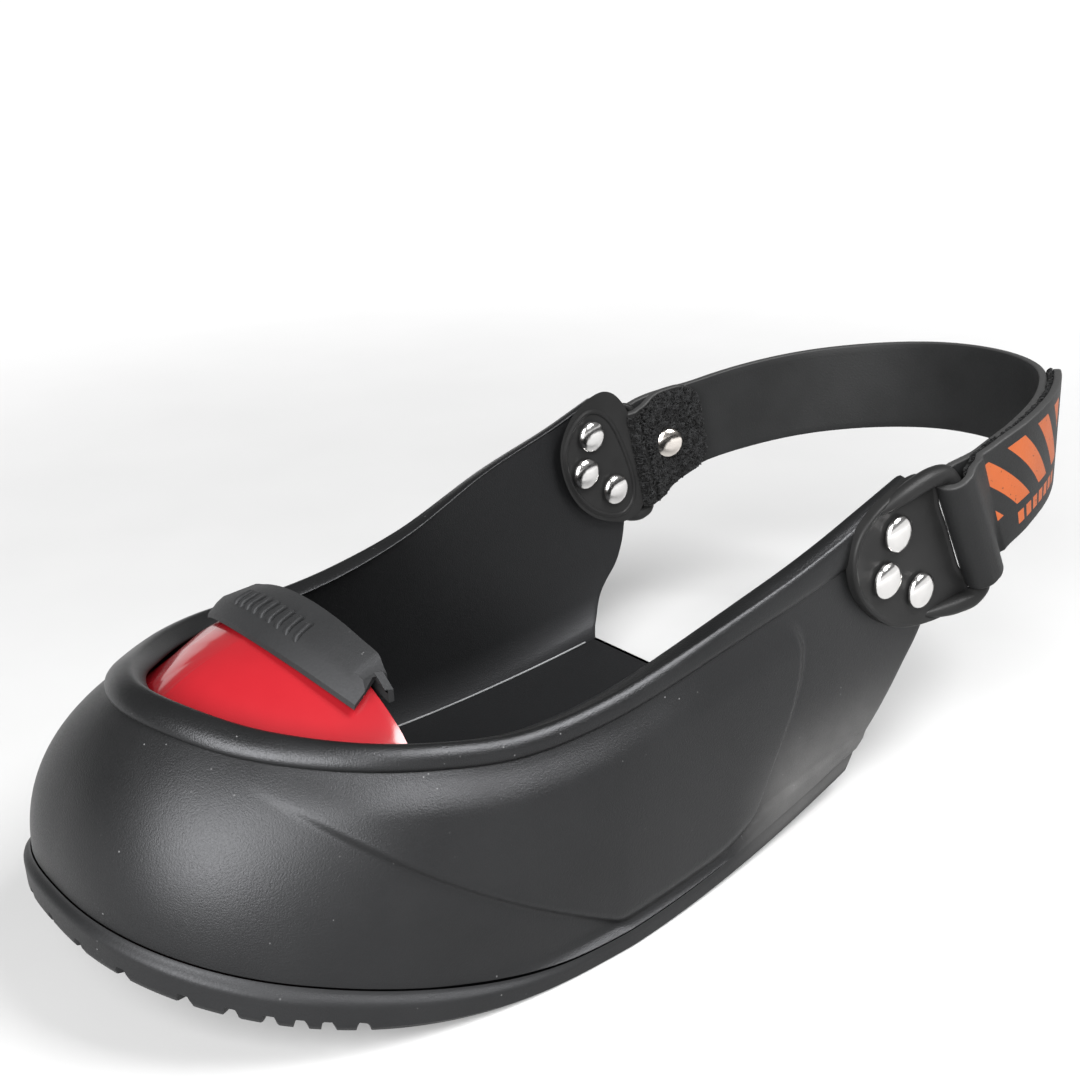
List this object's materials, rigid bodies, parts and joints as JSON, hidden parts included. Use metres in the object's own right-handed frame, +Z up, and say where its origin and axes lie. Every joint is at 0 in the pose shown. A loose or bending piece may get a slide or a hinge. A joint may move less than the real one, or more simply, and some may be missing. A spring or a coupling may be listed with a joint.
{
  "type": "overshoe",
  "caption": "Rubber overshoe for the front of a shoe, open at the heel, with a painted steel toe cap, a ribbed sole and a strap behind the heel held by riveted plates.",
  "frame": {"origin": "on the floor under the middle of the whole part's box", "axes": "+X from the toe to the heel strap, +Y to the far side in the picture, +Z up from the floor"},
  "size_m": [0.2786, 0.1248, 0.0876],
  "materials": {
    "outsole_rubber": "satin moulded",
    "upper_rubber": "satin moulded",
    "cap_paint": "gloss paint",
    "strip_rubber": "matt moulded",
    "plate_plastic": "semi-gloss",
    "strap_webbing": "woven, with loop pile and an orange print at the free end",
    "rivet_nickel": "polished nickel"
  },
  "bodies": {
    "root": {"outsole": "outsole_rubber", "upper": "upper_rubber", "toe_cap": "cap_paint", "toe_cap_edge_strip": "strip_rubber", "strap_plate_near": "plate_plastic", "strap_plate_far": "plate_plastic", "heel_strap": "strap_webbing", "rivet_near_1": "rivet_nickel", "rivet_near_2": "rivet_nickel", "rivet_near_3": "rivet_nickel", "rivet_far_1": "rivet_nickel", "rivet_far_2": "rivet_nickel", "rivet_far_3": "rivet_nickel", "strap_rivet": "rivet_nickel"}
  },
  "joints": []
}
